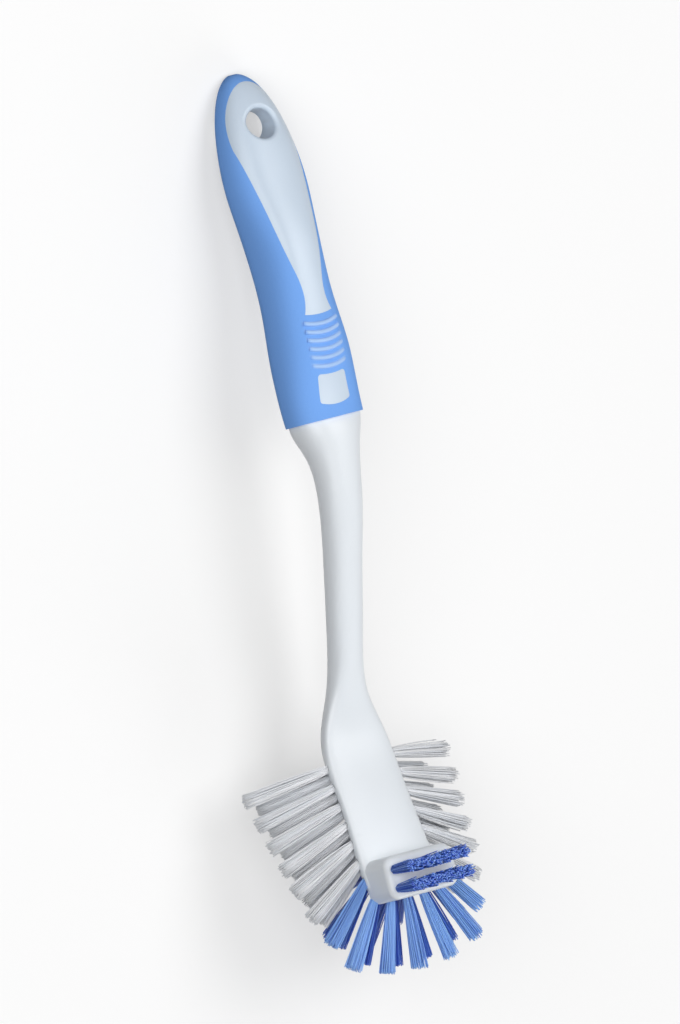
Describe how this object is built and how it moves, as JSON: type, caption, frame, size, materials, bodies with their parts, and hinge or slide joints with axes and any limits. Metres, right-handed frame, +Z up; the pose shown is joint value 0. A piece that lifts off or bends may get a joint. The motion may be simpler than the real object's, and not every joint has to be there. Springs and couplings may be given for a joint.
{
  "type": "dish brush",
  "caption": "Long-handled dish brush with a soft blue grip, hanging hole, curved white neck, fanned white and blue bristle tufts and short scrubbing rows on a raised toe.",
  "frame": {"origin": "middle of the bounding box, on the surface that the brush lies on", "axes": "+Y along the brush towards the end of its handle, with the toe at -Y; +Z up from the surface; +X to the right as the picture shows it"},
  "size_m": [0.0774, 0.2742, 0.0678],
  "materials": {
    "white_moulding": "white polypropylene, moulded, satin to glossy",
    "soft_grip": "blue thermoplastic elastomer, satin",
    "white_filament": "white polyester filament, slightly glossy",
    "blue_filament": "blue polyester filament, slightly glossy",
    "anchor_wire": "flat drawn wire"
  },
  "bodies": {
    "root": {"centre_tuft_1": "white_filament", "centre_tuft_2": "white_filament", "centre_tuft_3": "white_filament", "centre_tuft_4": "white_filament", "centre_tuft_5": "blue_filament", "corner_row_front_tufts": "blue_filament", "corner_row_rear_tufts": "blue_filament", "handle_core": "white_moulding", "lower_tuft_left_1": "white_filament", "lower_tuft_left_2": "white_filament", "lower_tuft_left_3": "white_filament", "lower_tuft_left_4": "white_filament", "lower_tuft_left_5": "blue_filament", "lower_tuft_middle": "blue_filament", "lower_tuft_right_1": "white_filament", "lower_tuft_right_2": "white_filament", "lower_tuft_right_3": "white_filament", "lower_tuft_right_4": "white_filament", "lower_tuft_right_5": "blue_filament", "rim_front_tuft_left_1": "blue_filament", "rim_front_tuft_left_2": "blue_filament", "rim_front_tuft_left_3": "blue_filament", "rim_front_tuft_middle": "blue_filament", "rim_front_tuft_right_1": "blue_filament", "rim_front_tuft_right_2": "blue_filament", "rim_front_tuft_right_3": "blue_filament", "rim_tuft_left_1": "white_filament", "rim_tuft_left_2": "white_filament", "rim_tuft_left_3": "white_filament", "rim_tuft_left_4": "white_filament", "rim_tuft_left_5": "white_filament", "rim_tuft_left_6": "white_filament", "rim_tuft_right_1": "white_filament", "rim_tuft_right_2": "white_filament", "rim_tuft_right_3": "white_filament", "rim_tuft_right_4": "white_filament", "rim_tuft_right_5": "white_filament", "rim_tuft_right_6": "white_filament", "side_front_tuft_left_1": "blue_filament", "side_front_tuft_left_2": "blue_filament", "side_front_tuft_left_3": "blue_filament", "side_front_tuft_right_1": "blue_filament", "side_front_tuft_right_2": "blue_filament", "side_front_tuft_right_3": "blue_filament", "side_tuft_left_1": "white_filament", "side_tuft_left_2": "white_filament", "side_tuft_left_3": "white_filament", "side_tuft_left_4": "white_filament", "side_tuft_left_5": "white_filament", "side_tuft_left_6": "white_filament", "side_tuft_right_1": "white_filament", "side_tuft_right_2": "white_filament", "side_tuft_right_3": "white_filament", "side_tuft_right_4": "white_filament", "side_tuft_right_5": "white_filament", "side_tuft_right_6": "white_filament", "soft_grip": "soft_grip", "tuft_anchors": "anchor_wire"}
  },
  "joints": []
}
